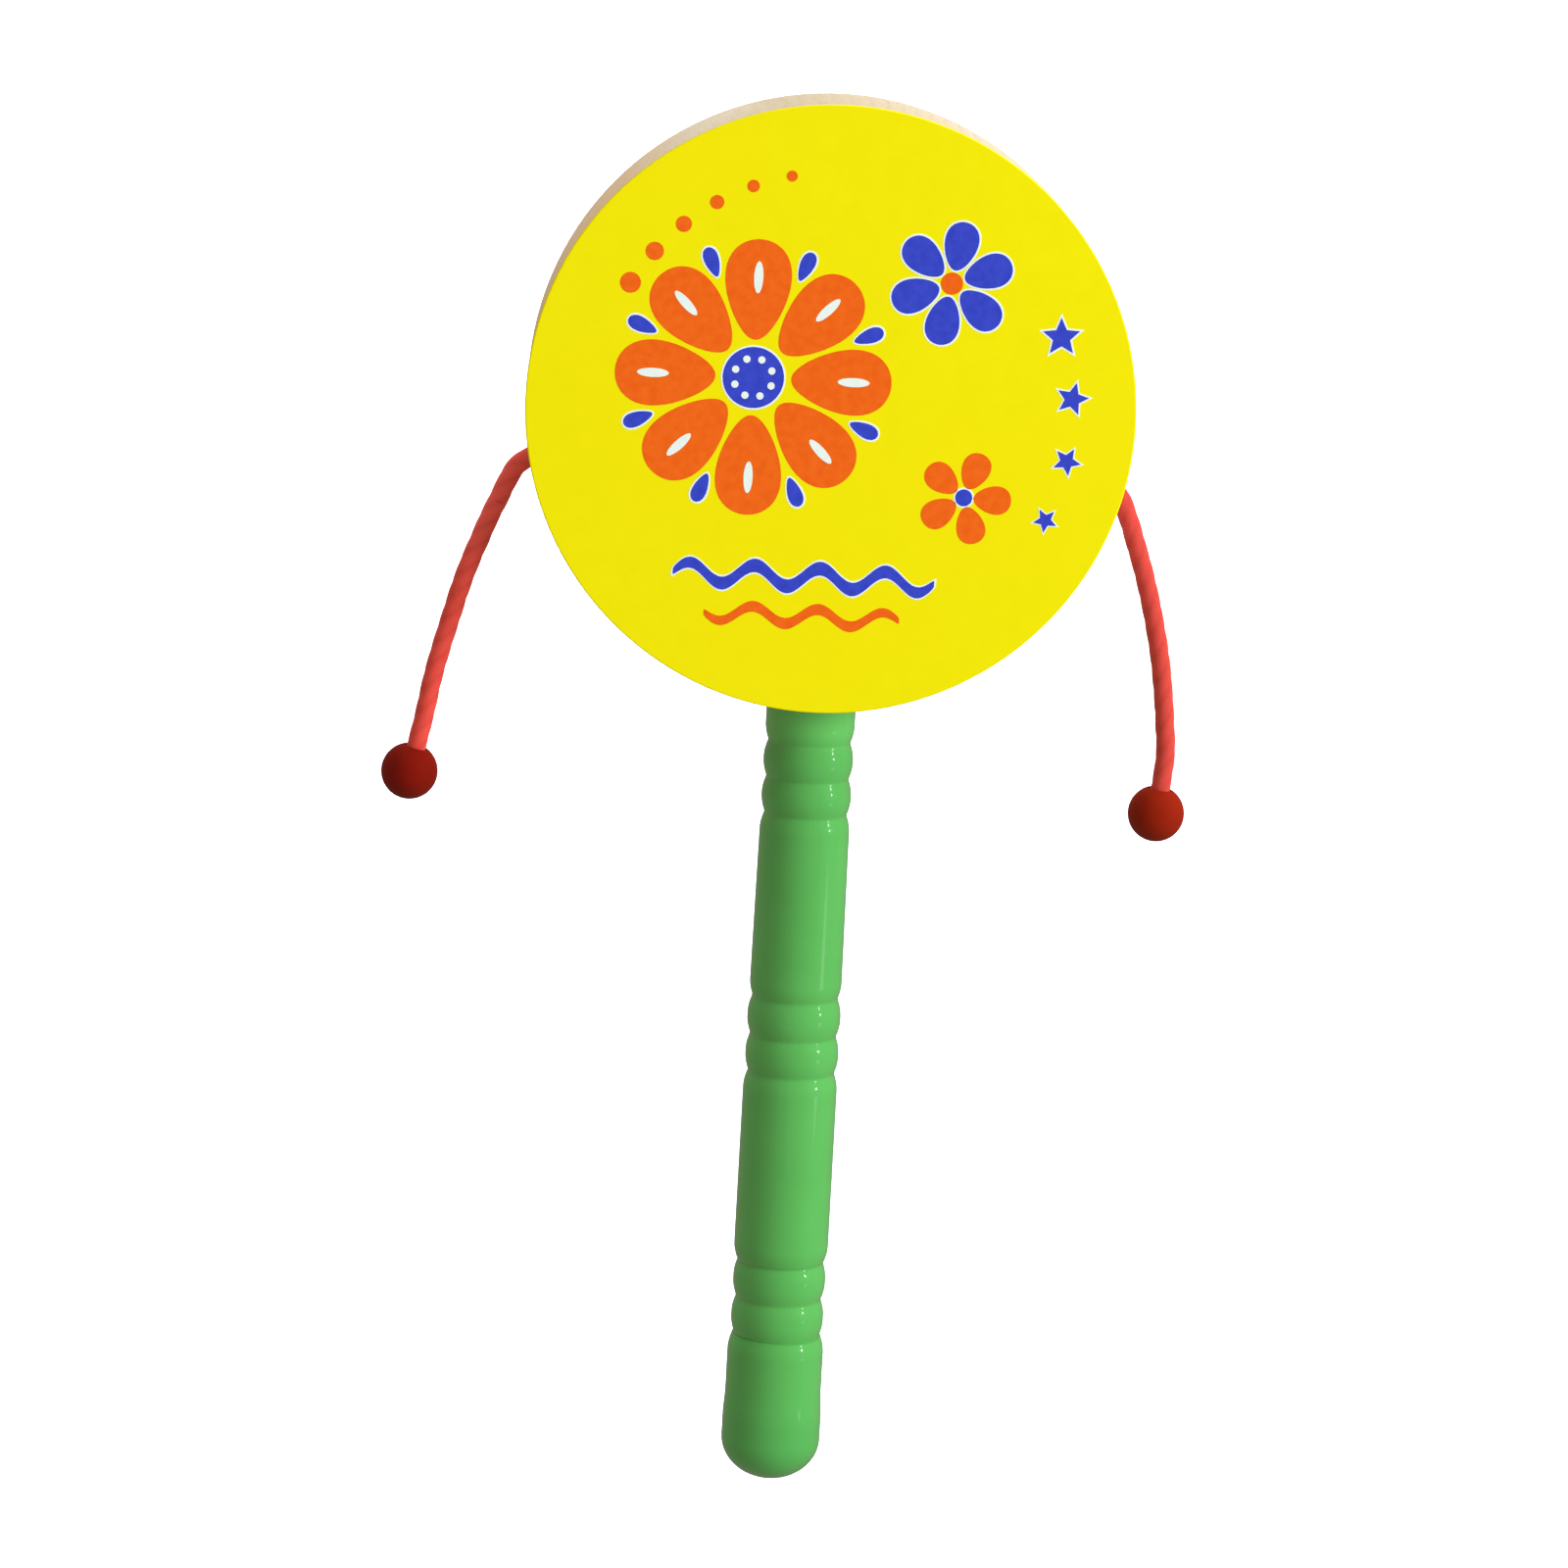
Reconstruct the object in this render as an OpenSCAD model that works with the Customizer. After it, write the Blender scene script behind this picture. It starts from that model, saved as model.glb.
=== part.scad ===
// Pellet drum rattle, hanging pose, front head facing -Y, +Z up along the handle.
// The origin is on the handle's axis, in the middle of its widest, straight stretch.

/* [Drum] */
// Outer diameter of the drum
drum_d = 100; // [86:1:120]
// Depth of the wooden ring between the two heads
ring_depth = 24; // [22:0.5:34]
// Radial thickness of the ring's wall
ring_wall = 7; // [6:0.25:9]
// Rounding of the ring's inner edges
ring_inner_round = 1.2; // [0.5:0.1:2]
// Thickness of each thin wooden head
head_t = 2; // [1.5:0.1:3]
// Rounding of each head's outer edge
head_round = 0.25; // [0.1:0.05:0.9]
// Chamfer on the ring and on each head where they are glued, which leaves a fine line round the drum
seam_chamfer = 0.2; // [0.1:0.05:0.4]
// Depth of the flat seat cut into the ring for the handle's shoulder
seat_depth = 0.6; // [0.6:0.05:0.9]

/* [Cords and beads] */
// Diameter of the cords
cord_d = 3.3; // [2.8:0.1:3.5]
// Diameter of the hole that each cord passes through
cord_hole_d = 5.2; // [4.8:0.1:6]
// Width of the rounded lip at the mouth of a cord hole
lip_w = 0.8; // [0.4:0.1:1.2]
// Angle of the cord holes below the drum's middle line
hole_angle = 13; // [10:0.5:16]
// Diameter of the beads
bead_d = 9.5; // [8:0.25:12]
// Width of the chamfer at the mouth of a bead's bore
bead_lip_w = 0.3; // [0.1:0.05:0.5]
// How far a cord reaches past its bead's centre
cord_reach = 1; // [0.5:0.1:1.5]
// Outer diameter of the wrapped stopper knots
knot_d = 8.6; // [7.5:0.1:9.5]
// Number of wraps in a stopper knot
knot_wraps = 3; // [2:1:3]
// Distance between two wraps, pulled tight into each other, as a share of the cord's diameter
wrap_share = 0.86; // [0.75:0.01:0.95]

/* [Handle] */
// Length of the collar under the drum, from the seat
collar_l = 7.8; // [6:0.1:10]
// Diameter of the collar
collar_d = 15; // [13:0.1:15.6]
// Length of each of the two upper rings
upper_ring_l = 6.1; // [4:0.1:9]
// Diameter of the upper rings
upper_ring_d = 15.1; // [13:0.1:17]
// Length of the upper barrel
upper_barrel_l = 31.7; // [20:0.1:45]
// Diameter of the upper barrel at its top
upper_barrel_top_d = 15.1; // [13:0.1:17]
// Diameter of the upper barrel at its bottom
upper_barrel_low_d = 15.6; // [13:0.1:17]
// Length of each of the two middle rings
middle_ring_l = 6.45; // [4:0.05:9]
// Diameter of the middle rings
middle_ring_d = 15.8; // [13:0.1:17]
// Length of the lower barrel
lower_barrel_l = 32.9; // [20:0.1:45]
// Diameter of the lower barrel at its top
lower_barrel_top_d = 15.95; // [13:0.05:17]
// Diameter of the lower barrel at its bottom
lower_barrel_low_d = 16.05; // [13:0.05:17]
// Length of each of the two lower rings
lower_ring_l = 6.55; // [4:0.05:9]
// Diameter of the lower rings
lower_ring_d = 15.75; // [13:0.05:17]
// Length of the end barrel before it swells
end_barrel_l = 9.5; // [7:0.1:14]
// Diameter of the end barrel
end_barrel_d = 16.4; // [14:0.1:16.6]
// Length over which the end barrel swells
swell_l = 5.5; // [3:0.1:8]
// Length of the straight, widest stretch
grip_l = 3.2; // [2.5:0.1:6]
// Diameter of the widest stretch
grip_d = 16.85; // [16.6:0.05:18]
// Height of the domed end
dome_l = 7.1; // [5:0.1:9]
// Depth of the turned grooves
groove_depth = 0.62; // [0.3:0.02:0.9]
// Length over which a section rounds down into a groove
shoulder_l = 3; // [2:0.1:4]
// Diameter of the tenon in the drum's ring
tenon_d = 9; // [7:0.25:10]
// Chamfer at the tenon's end
tenon_chamfer = 0.5; // [0.2:0.1:1]

/* [Fits] */
// Radial gap for glue round the tenon
glue_gap = 0.05; // [0.02:0.01:0.1]
// Radial gap between the collar and the wall of its seat
seat_gap = 0.15; // [0.1:0.05:0.3]
// Radial gap between a cord and its bore in the bead
cord_gap = 0.2; // [0.15:0.05:0.3]
// Gap between a knot and the ring's inner wall, and between the two stretches of a cord
knot_gap = 0.15; // [0.1:0.05:0.3]

/* [Hidden] */

// Points in a quarter of a round edge, and sides of a cord
round_steps = 6;
cord_sides = 8;
// Points along each stretch of the handle that curves
curve_steps = 10;
// Overrun of every cut past the face that it opens
cut = 0.5;

drum_r = drum_d / 2;
inner_r = drum_r - ring_wall;
bead_r = bead_d / 2;
handle_below_drum = collar_l - seat_depth + 2 * upper_ring_l + upper_barrel_l + 2 * middle_ring_l
    + lower_barrel_l + 2 * lower_ring_l + end_barrel_l + swell_l;
drum_bottom_z = grip_l / 2 + handle_below_drum;
drum_z = drum_bottom_z + drum_r;
seat_z = drum_bottom_z + seat_depth;

// Routes of the hanging stretches, from inside the hole to past the bead's centre, as [x, z]
left_route = [
    [-44.8, 166.2], [-46.0, 165.9], [-47.4, 165.6], [-48.8, 165.0], [-50.2, 164.1],
    [-51.4, 162.8], [-52.4, 160.9], [-53.9, 157.4], [-55.1, 154.7], [-56.4, 151.3],
    [-57.9, 147.3], [-59.4, 142.7], [-60.8, 137.5], [-62.2, 132.2], [-63.4, 127.0],
    [-64.3, 121.8], [-65.2, 117.2], [-66.8, 110.1]];
right_route = [
    [44.8, 166.2], [46.2, 165.8], [47.6, 165.0], [48.8, 163.9], [49.8, 162.5],
    [50.7, 160.5], [51.6, 158.2], [52.5, 155.6], [53.9, 151.6], [55.3, 147.0],
    [56.6, 142.0], [57.8, 136.6], [58.7, 131.0], [59.4, 125.2], [59.8, 119.2],
    [58.8, 109.0]];
cord_start_r = norm([left_route[0][0], left_route[0][1] - drum_z]);

// How far the outline lies inside its section at x, from 1 in the groove to 0 past the shoulder
function dip(x, l) = pow(1 - min(1, min(x, l - x) / min(shoulder_l, l / 2)), 2);

// Distances along a section, close together on its shoulders, as shares of its length
function stops(l) = let (s = min(shoulder_l, l / 2) / l)
    concat([for (i = [0 : curve_steps]) s * i / curve_steps],
           [for (i = [s < 0.5 ? 0 : 1 : curve_steps]) 1 - s + s * i / curve_steps]);

// Outline of a section that starts at z and goes down by l, between two grooves
function section(z, l, top_d, low_d) = [for (share = stops(l))
    [(top_d + (low_d - top_d) * share) / 2 - groove_depth * dip(share * l, l), z - share * l]];

// Sections of the handle from the collar down, as [length, upper diameter, lower diameter]
sections = [
    [upper_ring_l, upper_ring_d, upper_ring_d],
    [upper_ring_l, upper_ring_d, upper_ring_d],
    [upper_barrel_l, upper_barrel_top_d, upper_barrel_low_d],
    [middle_ring_l, middle_ring_d, middle_ring_d],
    [middle_ring_l, middle_ring_d, middle_ring_d],
    [lower_barrel_l, lower_barrel_top_d, lower_barrel_low_d],
    [lower_ring_l, lower_ring_d, lower_ring_d],
    [lower_ring_l, lower_ring_d, lower_ring_d]];
function depth_to(i) = i == 0 ? 0 : sections[i - 1][0] + depth_to(i - 1);
sections_top_z = seat_z - collar_l;
end_top_z = sections_top_z - depth_to(len(sections));

// The collar is square at its seat and rounds down into the first groove only
function collar_outline() = concat([[collar_d / 2, seat_z]],
    [for (i = [0 : curve_steps]) let (x = shoulder_l * (1 - i / curve_steps))
        [collar_d / 2 - groove_depth * pow(1 - x / shoulder_l, 2), sections_top_z + x]]);
function end_outline() = concat(
    [for (i = [0 : curve_steps]) let (x = shoulder_l * i / curve_steps)
        [end_barrel_d / 2 - groove_depth * pow(1 - x / shoulder_l, 2), end_top_z - x]],
    [for (i = [0 : curve_steps]) let (share = i / curve_steps)
        [end_barrel_d / 2 + (grip_d - end_barrel_d) * (1 - cos(180 * share)) / 4,
         end_top_z - end_barrel_l - swell_l * share]],
    [for (i = [0 : 2 * curve_steps]) let (a = 90 * i / (2 * curve_steps))
        [grip_d / 2 * cos(a), -grip_l / 2 - dome_l * sin(a)]]);

// Quarter rounds of a drum edge: a ring of points about the corner [r, y] towards the inside
function corner(r, y, radius, turn) = [for (i = [0 : round_steps])
    let (a = turn + 90 * i / round_steps) [r + radius * cos(a), y + radius * sin(a)]];

// Turns a profile of [radius, depth] about the drum's axis, which runs along Y
module about_drum_axis() {
    translate([0, 0, drum_z]) rotate([90, 0, 0]) rotate_extrude($fn = 180) children();
}

// Places its children on a cord hole's axis: +Z runs outwards from the drum's centre
module on_hole_axis(side) {
    translate([0, 0, drum_z]) rotate([0, side * (90 + hole_angle), 0]) children();
}

module drum_frame() {
    d = ring_depth / 2;
    k = ring_inner_round;
    s = seam_chamfer;
    color([0.86, 0.74, 0.55]) difference() {
        about_drum_axis() polygon(concat(
            [[drum_r, d - s], [drum_r - s, d], [inner_r + k, d]],
            corner(inner_r + k, d - k, k, 90),
            corner(inner_r + k, k - d, k, 180),
            [[inner_r + k, -d], [drum_r - s, -d], [drum_r, s - d]]));
        for (side = [-1, 1]) on_hole_axis(side) {
            translate([0, 0, inner_r - ring_wall])
                cylinder(d = cord_hole_d, h = 2 * ring_wall + cut, $fn = 48);
            translate([0, 0, drum_r - lip_w])
                cylinder(d1 = cord_hole_d, d2 = cord_hole_d + 2 * (lip_w + cut),
                         h = lip_w + cut, $fn = 48);
        }
        translate([0, 0, drum_bottom_z - cut])
            cylinder(d = collar_d + 2 * seat_gap, h = seat_depth + cut, $fn = 96);
        translate([0, 0, drum_bottom_z - cut])
            cylinder(d = tenon_d + 2 * glue_gap, h = 2 * ring_wall + cut, $fn = 96);
    }
}

// A thin disc on the face of the ring: side -1 is the front, 1 the back
module head(side, tint) {
    low = ring_depth / 2;
    color(tint) translate([0, 0, drum_z]) rotate([-90 * side, 0, 0])
        rotate_extrude($fn = 180) polygon(concat(
            [[0, low], [drum_r - seam_chamfer, low], [drum_r, low + seam_chamfer]],
            corner(drum_r - head_round, low + head_t - head_round, head_round, 0),
            [[0, low + head_t]]));
}

module front_head() { head(-1, [0.95, 0.9, 0.1]); }

module back_head() { head(1, [0.95, 0.9, 0.1]); }

module handle() {
    tenon_top = seat_z + ring_wall;
    outline = concat(
        [[0, tenon_top], [tenon_d / 2 - tenon_chamfer, tenon_top],
         [tenon_d / 2, tenon_top - tenon_chamfer], [tenon_d / 2, seat_z]],
        collar_outline(),
        [for (i = [0 : len(sections) - 1]) each section(
            sections_top_z - depth_to(i), sections[i][0], sections[i][1], sections[i][2])],
        end_outline());
    color([0.3, 0.68, 0.32]) rotate_extrude($fn = 96) polygon(outline);
}

// A wrapped stopper knot inside the ring, with the cord's stub through the hole
module knot(side) {
    wrap_r = (knot_d - cord_d) / 2;
    face = inner_r * cos(asin(knot_d / 2 / inner_r)) - knot_gap;
    pitch = wrap_share * cord_d;
    tail = knot_wraps * pitch + cord_d / 2;
    color([0.8, 0.22, 0.2]) on_hole_axis(side) union() {
        translate([0, 0, face - tail])
            cylinder(d = cord_d, h = cord_start_r - knot_gap - face + tail, $fn = 32);
        for (i = [0 : knot_wraps - 1]) translate([0, 0, face - cord_d / 2 - pitch * i])
            rotate_extrude($fn = 48) translate([wrap_r, 0]) circle(d = cord_d, $fn = 32);
    }
}

module left_knot() { knot(-1); }

module right_knot() { knot(1); }

// Direction of a route at point i, from its neighbours
function unit(v) = v / norm(v);
function heading(route, i) =
    unit(route[min(i + 1, len(route) - 1)] - route[max(i - 1, 0)]);

// A round tube along a route in the XZ plane
module tube(route) {
    n = len(route);
    points = [for (i = [0 : n - 1]) let (h = heading(route, i))
        for (k = [0 : cord_sides - 1]) let (a = 360 * k / cord_sides)
            [route[i][0] - h[1] * cord_d / 2 * cos(a), cord_d / 2 * sin(a),
             route[i][1] + h[0] * cord_d / 2 * cos(a)]];
    sides = [for (i = [0 : n - 2]) for (k = [0 : cord_sides - 1])
        let (a = i * cord_sides, b = a + cord_sides, j = (k + 1) % cord_sides)
            each [[a + k, a + j, b + j], [a + k, b + j, b + k]]];
    first = [for (k = [0 : cord_sides - 1]) cord_sides - 1 - k];
    last = [for (k = [0 : cord_sides - 1]) (n - 1) * cord_sides + k];
    polyhedron(points, concat(sides, [first, last]));
}

module left_cord() { color([0.84, 0.25, 0.22]) tube(left_route); }

module right_cord() { color([0.84, 0.25, 0.22]) tube(right_route); }

// A ball with a blind bore that takes the end of its cord, chamfered where it breaks the surface
module bead(route) {
    n = len(route);
    h = unit(route[n - 1] - route[n - 2]);
    centre = route[n - 1] - h * cord_reach;
    bore_d = cord_d + 2 * cord_gap;
    lip_z = sqrt(pow(bead_r, 2) - pow(bore_d / 2 + bead_lip_w, 2));
    color([0.55, 0.11, 0.08]) translate([centre[0], 0, centre[1]])
        rotate([0, atan2(-h[0], -h[1]), 0]) difference() {
            sphere(d = bead_d, $fn = 96);
            translate([0, 0, -cord_reach - cord_gap])
                cylinder(d = bore_d, h = bead_d, $fn = 48);
            translate([0, 0, lip_z - bead_lip_w])
                cylinder(d1 = bore_d, d2 = bore_d + 2 * (bead_lip_w + cut),
                         h = bead_lip_w + cut, $fn = 48);
        }
}

module left_bead() { bead(left_route); }

module right_bead() { bead(right_route); }

drum_frame();
front_head();
back_head();
handle();
left_knot();
right_knot();
left_cord();
right_cord();
left_bead();
right_bead();
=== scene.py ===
# %% [markdown]
# A pellet drum rattle is a small wooden drum on a turned stick. Two beads hang beside it on cords, and
# strike the heads when the stick is twirled. The frame that is loaded here holds every piece at its
# true size and place, so this lesson is about finish: paint, bare wood, cord, and the light on them.

# %% The frame
import math

import bmesh
import bpy
from mathutils import Matrix, Vector


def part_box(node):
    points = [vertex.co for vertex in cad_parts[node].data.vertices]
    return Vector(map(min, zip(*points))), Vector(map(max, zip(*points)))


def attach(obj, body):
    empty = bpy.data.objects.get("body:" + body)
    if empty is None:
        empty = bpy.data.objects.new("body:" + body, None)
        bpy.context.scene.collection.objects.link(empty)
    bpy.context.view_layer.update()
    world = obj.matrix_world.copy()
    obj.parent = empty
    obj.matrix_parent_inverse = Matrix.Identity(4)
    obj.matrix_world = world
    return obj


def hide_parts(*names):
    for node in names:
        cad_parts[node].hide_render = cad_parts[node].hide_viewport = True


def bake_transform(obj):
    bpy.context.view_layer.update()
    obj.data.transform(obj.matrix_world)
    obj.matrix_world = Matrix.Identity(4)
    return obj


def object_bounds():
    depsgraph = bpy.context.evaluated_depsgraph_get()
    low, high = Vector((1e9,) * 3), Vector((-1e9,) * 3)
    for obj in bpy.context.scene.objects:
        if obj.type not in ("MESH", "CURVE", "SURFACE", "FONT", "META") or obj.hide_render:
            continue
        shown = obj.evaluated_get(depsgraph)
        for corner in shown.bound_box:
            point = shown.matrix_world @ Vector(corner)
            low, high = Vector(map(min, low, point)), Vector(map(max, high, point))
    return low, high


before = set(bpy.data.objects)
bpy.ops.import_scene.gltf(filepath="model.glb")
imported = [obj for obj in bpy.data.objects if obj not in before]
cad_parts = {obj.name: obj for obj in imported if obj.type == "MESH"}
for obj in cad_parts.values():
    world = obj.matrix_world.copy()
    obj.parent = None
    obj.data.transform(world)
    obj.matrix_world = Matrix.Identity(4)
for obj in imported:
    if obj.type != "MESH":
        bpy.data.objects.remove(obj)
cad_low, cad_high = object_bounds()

MM = 0.001
drum_low, drum_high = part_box("drum_frame")
DRUM_CENTRE = (drum_low + drum_high) / 2
FACE_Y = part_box("front_head")[0].y
print(f"drum: {(drum_high.z - drum_low.z) / MM:.1f} mm across, centre {DRUM_CENTRE.z / MM:.1f} mm up")

# %% [markdown]
# The photograph was taken with a long lens, a little from the left and a little from above, and the
# picture was turned so that the toy leans to the right. The camera is placed by these angles round the
# middle of the drum, because they say more to a reader than three coordinates would.

# %% The camera
CAMERA_AZIMUTH = math.radians(-2.3)
CAMERA_ELEVATION = math.radians(6.76)
CAMERA_ROLL = math.radians(3.17)
CAMERA_DISTANCE = 977.8 * MM
CAMERA_LENS = 135.2        # Blender takes this and the sensor's width in millimetres
SENSOR_WIDTH = 36
CLIP_NEAR, CLIP_FAR = 0.05, 20
AIM_BESIDE_DRUM = -3.83 * MM
AIM_BELOW_DRUM = 64.7 * MM


def new_object(name, data):
    """An object that holds this data, linked into the scene."""
    made = bpy.data.objects.new(name, data)
    bpy.context.scene.collection.objects.link(made)
    return made


def towards(azimuth, elevation):
    """The direction from the toy to something seen at that angle; azimuth 0 is in front of it."""
    return Vector((math.sin(azimuth) * math.cos(elevation),
                   -math.cos(azimuth) * math.cos(elevation), math.sin(elevation)))


def add_camera():
    made = new_object("camera", bpy.data.cameras.new("camera"))
    place = DRUM_CENTRE + CAMERA_DISTANCE * towards(CAMERA_AZIMUTH, CAMERA_ELEVATION)
    aim = DRUM_CENTRE + Vector((AIM_BESIDE_DRUM, 0, -AIM_BELOW_DRUM))
    look = (aim - place).normalized()
    right = look.cross(Vector((0, 0, 1))).normalized()
    up = right.cross(look)
    cos, sin = math.cos(CAMERA_ROLL), math.sin(CAMERA_ROLL)
    turned = Matrix((right * cos + up * sin, up * cos - right * sin, -look)).transposed()
    made.matrix_world = Matrix.Translation(place) @ turned.to_4x4()
    made.data.lens = CAMERA_LENS
    made.data.sensor_width = SENSOR_WIDTH
    made.data.clip_start = CLIP_NEAR
    made.data.clip_end = CLIP_FAR
    bpy.context.scene.camera = made
    return made


camera = add_camera()
print("camera at", [round(c / MM, 1) for c in camera.location], "mm")

# %% [markdown]
# Shader trees and geometry trees are built from the same three moves: add a node, set its options, and
# link or fill its inputs. Small helpers keep that to one line for each node, and others name what is
# needed often, such as a blend or random patches.

# %% Helpers for every tree
def add_node(tree, kind, inputs=None, **options):
    """Adds a node. An input is a socket to link, or a value to set."""
    made = tree.nodes.new(kind)
    for name, value in options.items():
        setattr(made, name, value)
    for key, value in (inputs or {}).items():
        if isinstance(value, bpy.types.NodeSocket):
            tree.links.new(value, made.inputs[key])
        else:
            made.inputs[key].default_value = value
    return made


def maths(tree, operation, *values):
    """One step of arithmetic, as the socket that holds its result."""
    return add_node(tree, "ShaderNodeMath", dict(enumerate(values)), operation=operation).outputs[0]


def plus(tree, first, second):
    return maths(tree, "ADD", first, second)


def times(tree, first, second):
    return maths(tree, "MULTIPLY", first, second)


def vector_maths(tree, operation, inputs):
    return add_node(tree, "ShaderNodeVectorMath", inputs, operation=operation).outputs


def joined(tree, **axes):
    """One vector; an axis that is left out is 0."""
    return add_node(tree, "ShaderNodeCombineXYZ", axes).outputs[0]


def split(tree, vector):
    """The three sockets X, Y and Z of a vector."""
    return add_node(tree, "ShaderNodeSeparateXYZ", {0: vector}).outputs


def stretch(tree, value, low, high, to_low=0.0, to_high=1.0, smooth=False):
    """Maps low..high onto to_low..to_high, and clamps past the ends."""
    inputs = {"Value": value, "From Min": low, "From Max": high, "To Min": to_low, "To Max": to_high}
    kind = "SMOOTHSTEP" if smooth else "LINEAR"
    return add_node(tree, "ShaderNodeMapRange", inputs, interpolation_type=kind).outputs["Result"]


print("tree helpers ready")

# %% Helpers for finishes
def new_material(name, **sockets):
    """A material with one shader, whose plain values are set on its own sockets."""
    made = bpy.data.materials.new(name)
    made.use_nodes = True
    shader = made.node_tree.nodes["Principled BSDF"]
    for label, value in sockets.items():
        shader.inputs[label.replace("_", " ")].default_value = value
    return made, made.node_tree, shader


def object_point(tree):
    """Where a spot lies on its piece, whatever the pose."""
    return add_node(tree, "ShaderNodeTexCoord").outputs["Object"]


def blend_colour(tree, factor, first, second):
    """A colour between two, each of them a socket or three numbers."""
    ends = [end if isinstance(end, bpy.types.NodeSocket) else (*end, 1) for end in (first, second)]
    # Inputs 6 and 7 and output 2 are the mix node's sockets for colours.
    return add_node(tree, "ShaderNodeMix", {"Factor": factor, 6: ends[0], 7: ends[1]},
                    data_type="RGBA").outputs[2]


def noise(tree, place, scale, detail):
    """Random soft patches, mostly between 0.3 and 0.7. A larger scale makes them smaller."""
    return add_node(tree, "ShaderNodeTexNoise",
                    {"Vector": place, "Scale": scale, "Detail": detail}).outputs["Fac"]


def streaks(tree, place, scales, detail):
    """Noise with a scale for each axis, which runs out into streaks where one is small."""
    drawn_out = add_node(tree, "ShaderNodeMapping", {"Vector": place, "Scale": scales}).outputs[0]
    return noise(tree, drawn_out, 1, detail)


def bumped(tree, shader, height, distance, strength):
    """Tilts the shader's normal as if a height of 1 stood that far out of the surface."""
    inputs = {"Height": height, "Distance": distance, "Strength": strength}
    made = add_node(tree, "ShaderNodeBump", inputs).outputs[0]
    tree.links.new(made, shader.inputs["Normal"])
    return made


print("finish helpers ready")

# %% Helpers for geometry
CRISP_ANGLE = math.radians(50)


def geometry_tree(name, **inputs):
    """An empty geometry tree with named inputs, each given as its kind of socket."""
    tree = bpy.data.node_groups.new(name, "GeometryNodeTree")
    tree.interface.new_socket("Geometry", in_out="INPUT", socket_type="NodeSocketGeometry")
    for label, kind in inputs.items():
        tree.interface.new_socket(label.replace("_", " "), in_out="INPUT",
                                  socket_type="NodeSocket" + kind)
    tree.interface.new_socket("Geometry", in_out="OUTPUT", socket_type="NodeSocketGeometry")
    return tree, tree.nodes.new("NodeGroupInput").outputs


def circle_curve(tree, sides, radius):
    return add_node(tree, "GeometryNodeCurvePrimitiveCircle",
                    {"Resolution": sides, "Radius": radius}, mode="RADIUS").outputs[0]


def store(tree, geometry, name, value, kind="FLOAT", domain="POINT"):
    """Keeps a value on the geometry, for later nodes and the finish to read by name."""
    return add_node(tree, "GeometryNodeStoreNamedAttribute",
                    {"Geometry": geometry, "Name": name, "Value": value},
                    data_type=kind, domain=domain).outputs[0]


def stored(tree, name):
    return add_node(tree, "GeometryNodeInputNamedAttribute", {"Name": name}).outputs[0]


def close_tree(tree, geometry, material):
    """Ends a tree: instances become real, corners stay crisp, and the mesh gets its finish."""
    real = add_node(tree, "GeometryNodeRealizeInstances", {"Geometry": geometry})
    smooth = add_node(tree, "GeometryNodeSetShadeSmooth", {"Geometry": real.outputs[0]})
    bend = add_node(tree, "GeometryNodeInputMeshEdgeAngle").outputs[0]
    corner = maths(tree, "GREATER_THAN", bend, CRISP_ANGLE)
    crisp = add_node(tree, "GeometryNodeSetShadeSmooth",
                     {"Geometry": smooth.outputs[0], "Selection": corner, "Shade Smooth": False},
                     domain="EDGE")
    finished = add_node(tree, "GeometryNodeSetMaterial",
                        {"Geometry": crisp.outputs[0], "Material": material})
    add_node(tree, "NodeGroupOutput", {0: finished.outputs[0]})


def line_through(name, places, radii=()):
    """A curve of straight steps through these places, whose points may carry radii."""
    curve = bpy.data.curves.new(name, "CURVE")
    curve.dimensions = "3D"
    spline = curve.splines.new("POLY")
    spline.points.add(len(places) - 1)
    for point, place in zip(spline.points, places):
        point.co = (*place, 1)
    for point, radius in zip(spline.points, radii):
        point.radius = radius
    return curve


def grow(name, base, tree, **values):
    """Runs a tree on an object's data, and returns the result as a plain mesh object."""
    made = new_object(name, base)
    modifier = made.modifiers.new(tree.name, "NODES")
    modifier.node_group = tree
    sockets = {s.name: s.identifier for s in tree.interface.items_tree if s.in_out == "INPUT"}
    for label, value in values.items():
        modifier[sockets[label.replace("_", " ")]] = value
    depsgraph = bpy.context.evaluated_depsgraph_get()
    mesh = bpy.data.meshes.new_from_object(made.evaluated_get(depsgraph))
    mesh.name = name
    bpy.data.objects.remove(made)
    return new_object(name, mesh)


print("geometry helpers ready")

# %% [markdown]
# The cords are soft red cord of three strands with a slow twist, 3.3 mm thick. A path with a round
# section would look like wire, so the tube gets three shallow grooves that wind round it. One tree
# makes every stretch: it sweeps a circle along the route, then presses the grooves into the surface.

# %% The red cord's finish
CORD_DIAMETER = 3.3 * MM
CORD_STRANDS = 3
CORD_LAY = 12 * MM           # length over which a strand goes once round
CORD_YARNS = 21
CORD_RED = (0.69, 0.063, 0.050)
CORD_RED_LIGHT = (0.78, 0.077, 0.061)
# Painted shade for the right cord, and painted light for the left cord near the drum.
CORD_RED_PAINTED_SHADE = (0.58, 0.056, 0.046)
CORD_RED_PAINTED_LIGHT = (0.94, 0.120, 0.105)
# Painted shade in the grooves between the strands.
CORD_RED_GROOVE_SHADE = (0.33, 0.017, 0.014)
CORD_RED_FLUFF = (0.85, 0.16, 0.12)
# Heights over which the painted light on the left cord comes in, where the drum shades it.
PAINTED_LIGHT_START, PAINTED_LIGHT_END = 142 * MM, 156 * MM     # heights
SIDE_EDGE = 20 * MM          # no cord or bead lies nearer the middle than this


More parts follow.
